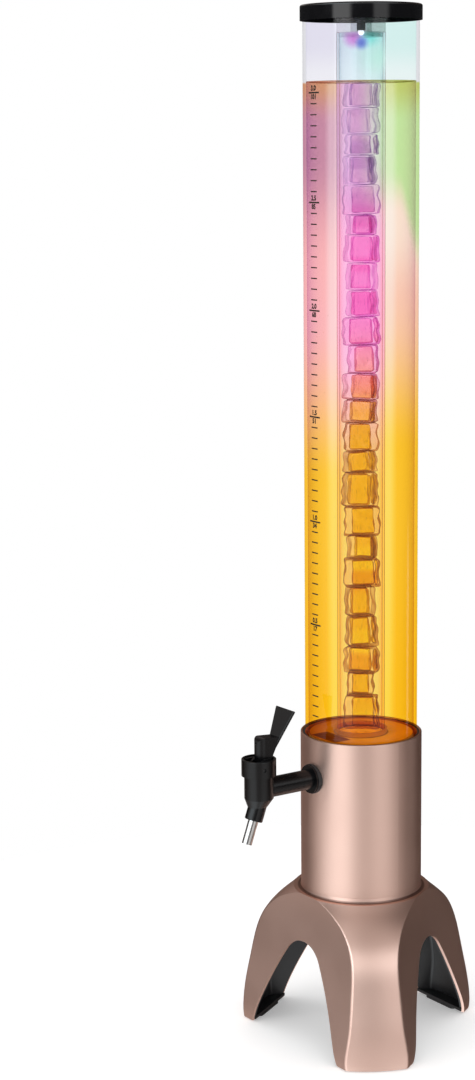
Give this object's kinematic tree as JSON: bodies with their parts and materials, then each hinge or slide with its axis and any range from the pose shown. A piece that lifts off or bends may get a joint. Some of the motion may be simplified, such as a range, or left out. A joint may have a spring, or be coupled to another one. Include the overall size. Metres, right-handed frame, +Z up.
{
  "type": "beer tower dispenser",
  "caption": "Clear upright drink tube on a three-legged stand, with a lift-out ice tube, a lit lid and a spring-return lever tap near the foot.",
  "frame": {"origin": "on the tower's vertical axis, at the level its foot pads stand on", "axes": "+Z up along the tower; the tap points along -Y; +X is to the right when the tap is seen from the front"},
  "size_m": [0.2116, 0.2395, 0.9151],
  "materials": {
    "rose_gold": "satin metallic rose-gold paint on moulded plastic",
    "black_abs": "moulded black plastic, fine matt",
    "gloss_black": "polished black plastic",
    "tap_black": "satin black plastic",
    "black_rubber": "moulded black rubber",
    "clear_silicone": "translucent silicone rubber",
    "clear_acrylic": "clear extruded acrylic, polished",
    "frosted_plastic": "frosted translucent plastic",
    "steel": "polished stainless steel",
    "led_epoxy": "clear epoxy dome, lit",
    "circuit_board": "glass-fibre board",
    "cell_steel": "nickel-plated steel can"
  },
  "bodies": {
    "tower": {"base_shell": "rose_gold", "base_liner": "black_abs", "foot_pads": "black_rubber", "base_screws": "steel", "collar": "rose_gold", "base_core": "black_abs", "tube_gasket": "clear_silicone", "main_tube": "clear_acrylic", "tap_body": "tap_black", "tap_washer": "black_rubber", "tap_inner_gasket": "black_rubber", "tap_nut": "tap_black", "spout_tube": "steel", "bonnet": "tap_black", "stem_seal": "black_rubber", "lever_pin": "steel", "valve_spring": "steel"},
    "ice_tube": {"ice_tube": "clear_acrylic"},
    "lid": {"lid": "gloss_black", "lid_gasket": "clear_silicone", "lid_plug": "frosted_plastic", "light_housing": "black_abs", "light_cover": "black_abs", "light_screws": "steel", "light_bulb": "led_epoxy", "light_board": "circuit_board", "button_cell": "cell_steel"},
    "light_button": {"light_button": "black_rubber"},
    "lever": {"lever": "tap_black"},
    "plunger": {"valve_plunger": "tap_black", "valve_seal": "black_rubber"}
  },
  "joints": [
    {"name": "ice_tube_lift", "type": "slide", "parent": "tower", "child": "ice_tube", "axis": [0, 0, 1], "range_m": [0, 0.65]},
    {"name": "lid_lift", "type": "slide", "parent": "ice_tube", "child": "lid", "axis": [0, 0, 1], "range_m": [0, 0.12]},
    {"name": "light_button_press", "type": "slide", "parent": "lid", "child": "light_button", "axis": [0, 0, -1], "range_m": [0, 0.0008], "stiffness_N_per_m": 400, "springref_m": -0.0005},
    {"name": "lever_pull", "type": "hinge", "parent": "tower", "child": "lever", "pos_m": [0, -0.116, 0.2635], "axis": [1, 0, 0], "range_deg": [0, 50], "stiffness_Nm_per_rad": 0.3, "springref_deg": -14.32},
    {"name": "plunger_lift", "type": "slide", "parent": "tower", "child": "plunger", "axis": [0, 0, 1], "range_m": [0, 0.00306], "deforming": ["valve_spring"]}
  ],
  "couplings": [
    {"joint": "lever_pull", "follows": "plunger_lift", "rad_per_m": 284.8}
  ]
}
